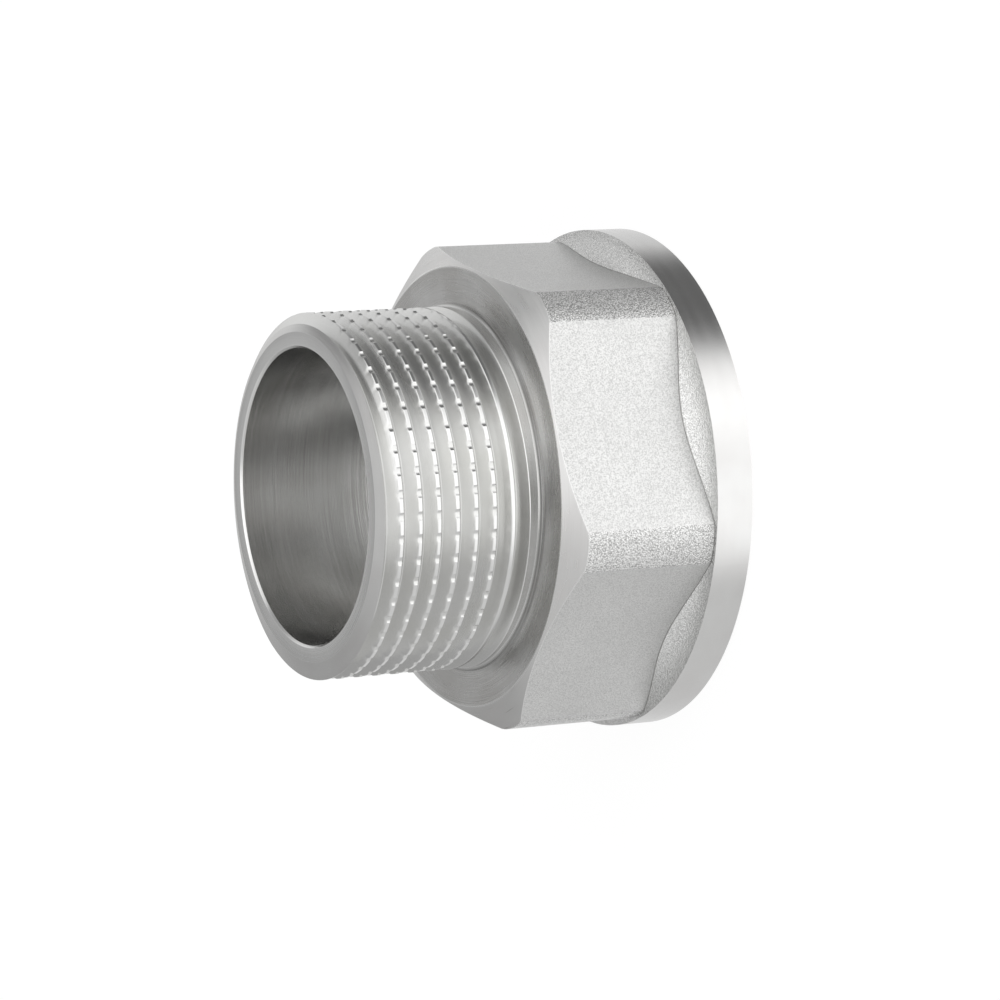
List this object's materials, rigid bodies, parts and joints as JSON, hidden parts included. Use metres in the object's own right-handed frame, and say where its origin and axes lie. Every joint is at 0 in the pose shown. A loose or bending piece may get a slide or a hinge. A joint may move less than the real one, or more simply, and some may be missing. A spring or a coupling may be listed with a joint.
{
  "type": "pipe adapter",
  "caption": "Pipe adapter in nickel-plated brass: male pipe thread with serrated crests, wrench hexagon, and a larger female pipe thread inside a round collar.",
  "frame": {"origin": "middle of the female end face, which the part stands on", "axes": "+Z along the pipe axis towards the male end; +Y square out of one flat of the hexagon; +X through one of its corners"},
  "size_m": [0.0583, 0.0582, 0.0425],
  "materials": {
    "nickel_plated_brass": "satin nickel plating, turned at the threads and the band, shot-blasted on the hexagon"
  },
  "bodies": {
    "root": {"adapter_body": "nickel_plated_brass"}
  },
  "joints": []
}
